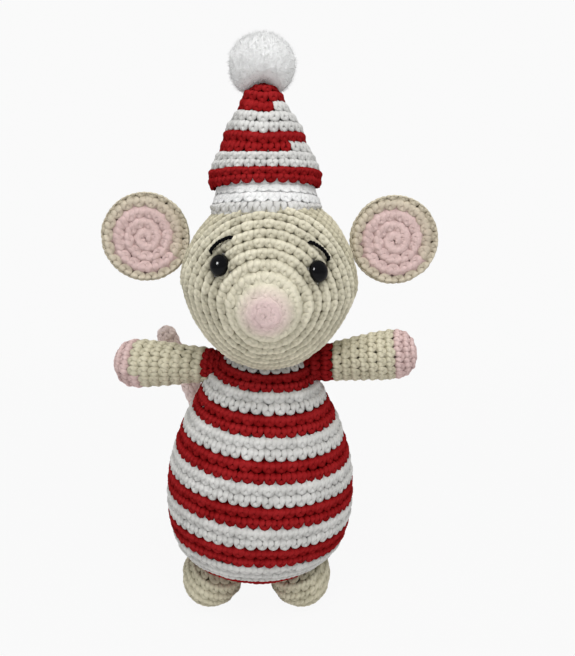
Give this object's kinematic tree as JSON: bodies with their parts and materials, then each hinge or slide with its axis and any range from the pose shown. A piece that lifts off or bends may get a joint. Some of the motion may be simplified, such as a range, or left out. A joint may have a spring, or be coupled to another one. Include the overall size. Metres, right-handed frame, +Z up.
{
  "type": "mouse cat toy",
  "caption": "Crocheted mouse toy with a striped pear-shaped body, snout, flat round ears, arms, feet, tail and a striped cone hat; head, ears, arms and tail flex at their seams.",
  "frame": {"origin": "on the standing surface under the middle of the toy's bounding box", "axes": "+Z up, face looking along -Y, +X to the right as seen from the front"},
  "size_m": [0.1318, 0.0916, 0.2286],
  "materials": {
    "yarn_beige": "matt beige cotton yarn in single crochet",
    "yarn_pink": "matt pale pink cotton yarn in single crochet",
    "yarn_red": "matt deep red cotton yarn in single crochet",
    "yarn_white": "matt white cotton yarn in single crochet",
    "pompom_white": "fluffy trimmed white yarn ends",
    "thread_black": "black cotton thread",
    "eye_black": "polished black plastic",
    "washer_plastic": "moulded plastic",
    "fibre_fill": "white polyester fibre fill"
  },
  "bodies": {
    "torso": {"body_fill": "fibre_fill", "body_base_red": "yarn_red", "body_hem_white": "yarn_white", "body_stripe_red_1": "yarn_red", "body_stripe_white_1": "yarn_white", "body_stripe_red_2": "yarn_red", "body_stripe_white_2": "yarn_white", "body_stripe_red_3": "yarn_red", "body_stripe_white_3": "yarn_white", "body_stripe_red_4": "yarn_red", "body_stripe_white_4": "yarn_white", "body_yoke_red": "yarn_red", "body_collar_white": "yarn_white", "foot_left": "yarn_beige", "foot_right": "yarn_beige"},
    "head": {"head_fill": "fibre_fill", "head_cover": "yarn_beige", "nose_tip": "yarn_pink", "eye_left": "eye_black", "eye_right": "eye_black", "eye_washer_left": "washer_plastic", "eye_washer_right": "washer_plastic", "eyebrow_left": "thread_black", "eyebrow_right": "thread_black", "hat_fill": "fibre_fill", "hat_stripe_red_1": "yarn_red", "hat_stripe_white_1": "yarn_white", "hat_stripe_red_2": "yarn_red", "hat_stripe_white_2": "yarn_white", "hat_tip_red": "yarn_red", "hat_brim_white": "yarn_white", "pompom": "pompom_white"},
    "ear_left": {"ear_left_back": "yarn_beige", "ear_left_lining": "yarn_pink"},
    "ear_right": {"ear_right_back": "yarn_beige", "ear_right_lining": "yarn_pink"},
    "arm_left": {"sleeve_left": "yarn_red", "arm_left": "yarn_beige", "hand_left": "yarn_pink"},
    "arm_right": {"sleeve_right": "yarn_red", "arm_right": "yarn_beige", "hand_right": "yarn_pink"},
    "tail": {"tail": "yarn_pink"}
  },
  "joints": [
    {"name": "head_turn", "type": "hinge", "parent": "torso", "child": "head", "pos_m": [-0.00019, -0.00531, 0.1], "axis": [0, 0, 1], "range_deg": [-25, 25], "stiffness_Nm_per_rad": 0.2},
    {"name": "ear_left_flex", "type": "hinge", "parent": "head", "child": "ear_left", "pos_m": [-0.03325, -0.00231, 0.14447], "axis": [0.3123, 0, 0.95], "range_deg": [-15, 15], "stiffness_Nm_per_rad": 0.02},
    {"name": "ear_right_flex", "type": "hinge", "parent": "head", "child": "ear_right", "pos_m": [0.03313, -0.00231, 0.14366], "axis": [0.289, 0, -0.9573], "range_deg": [-15, 15], "stiffness_Nm_per_rad": 0.02},
    {"name": "arm_left_swing", "type": "hinge", "parent": "torso", "child": "arm_left", "pos_m": [-0.02425, -0.00181, 0.098], "axis": [0, 1, 0], "range_deg": [-15, 15], "stiffness_Nm_per_rad": 0.05},
    {"name": "arm_right_swing", "type": "hinge", "parent": "torso", "child": "arm_right", "pos_m": [0.01588, -0.00181, 0.098], "axis": [0, -1, 0], "range_deg": [-15, 15], "stiffness_Nm_per_rad": 0.05},
    {"name": "tail_swing", "type": "hinge", "parent": "torso", "child": "tail", "pos_m": [-0.00819, 0.03514, 0.03], "axis": [0, -1, 0], "range_deg": [-5, 25], "stiffness_Nm_per_rad": 0.05}
  ]
}
